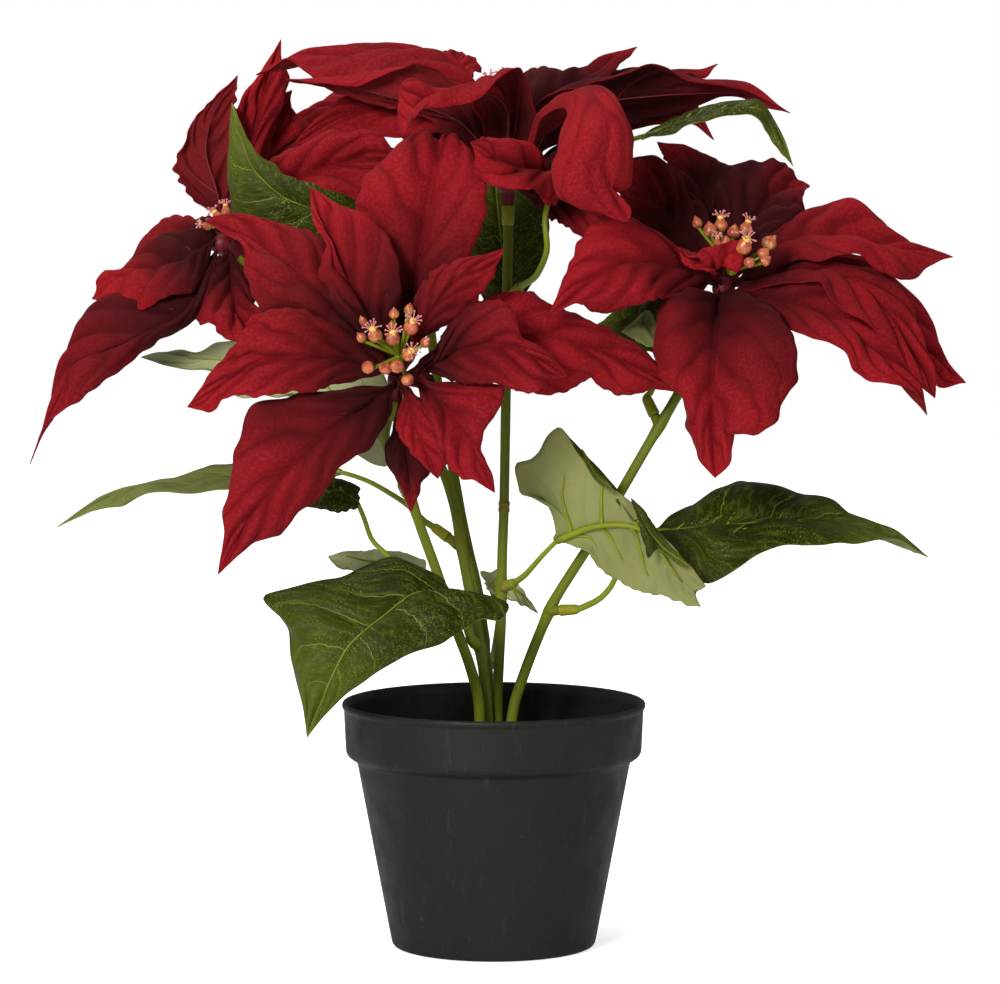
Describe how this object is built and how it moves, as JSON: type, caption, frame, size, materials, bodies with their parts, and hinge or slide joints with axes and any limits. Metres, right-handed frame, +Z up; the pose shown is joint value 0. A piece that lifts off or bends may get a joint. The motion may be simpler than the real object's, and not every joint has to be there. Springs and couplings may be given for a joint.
{
  "type": "potted poinsettia",
  "caption": "Artificial poinsettia: fabric blooms and leaves plugged onto branching moulded stems that stand in a plain tapered nursery pot, for display.",
  "frame": {"origin": "centre of the pot's flat base", "axes": "+Z up along the pot's axis, -Y the front that the picture looks at, +X to the right seen from the front"},
  "size_m": [0.3686, 0.2695, 0.3591],
  "materials": {
    "pot_plastic": "matte",
    "filler": "matte",
    "stem_plastic": "satin",
    "leaf_fabric": "matte",
    "bract_fabric": "matte",
    "flower_plastic": "satin"
  },
  "bodies": {
    "root": {"pot": "pot_plastic", "filler": "filler", "stem_front": "stem_plastic", "stem_left": "stem_plastic", "stem_back": "stem_plastic", "stem_centre": "stem_plastic", "stem_right": "stem_plastic", "leaf_front": "leaf_fabric", "leaf_low_left_rear": "leaf_fabric", "leaf_low_right_rear": "leaf_fabric", "leaf_pale_right": "leaf_fabric", "leaf_right": "leaf_fabric", "leaf_top_right": "leaf_fabric", "leaf_middle_right": "leaf_fabric", "leaf_centre_rear": "leaf_fabric", "leaf_top_left": "leaf_fabric", "leaf_rear_top": "leaf_fabric", "leaf_mid_left": "leaf_fabric", "leaf_far_left": "leaf_fabric", "leaf_small_left": "leaf_fabric", "bracts_front": "bract_fabric", "bracts_left": "bract_fabric", "bracts_centre": "bract_fabric", "bracts_right": "bract_fabric", "bracts_back": "bract_fabric", "flowers_front": "flower_plastic", "flowers_left": "flower_plastic", "flowers_centre": "flower_plastic", "flowers_right": "flower_plastic", "flowers_back": "flower_plastic"}
  },
  "joints": []
}
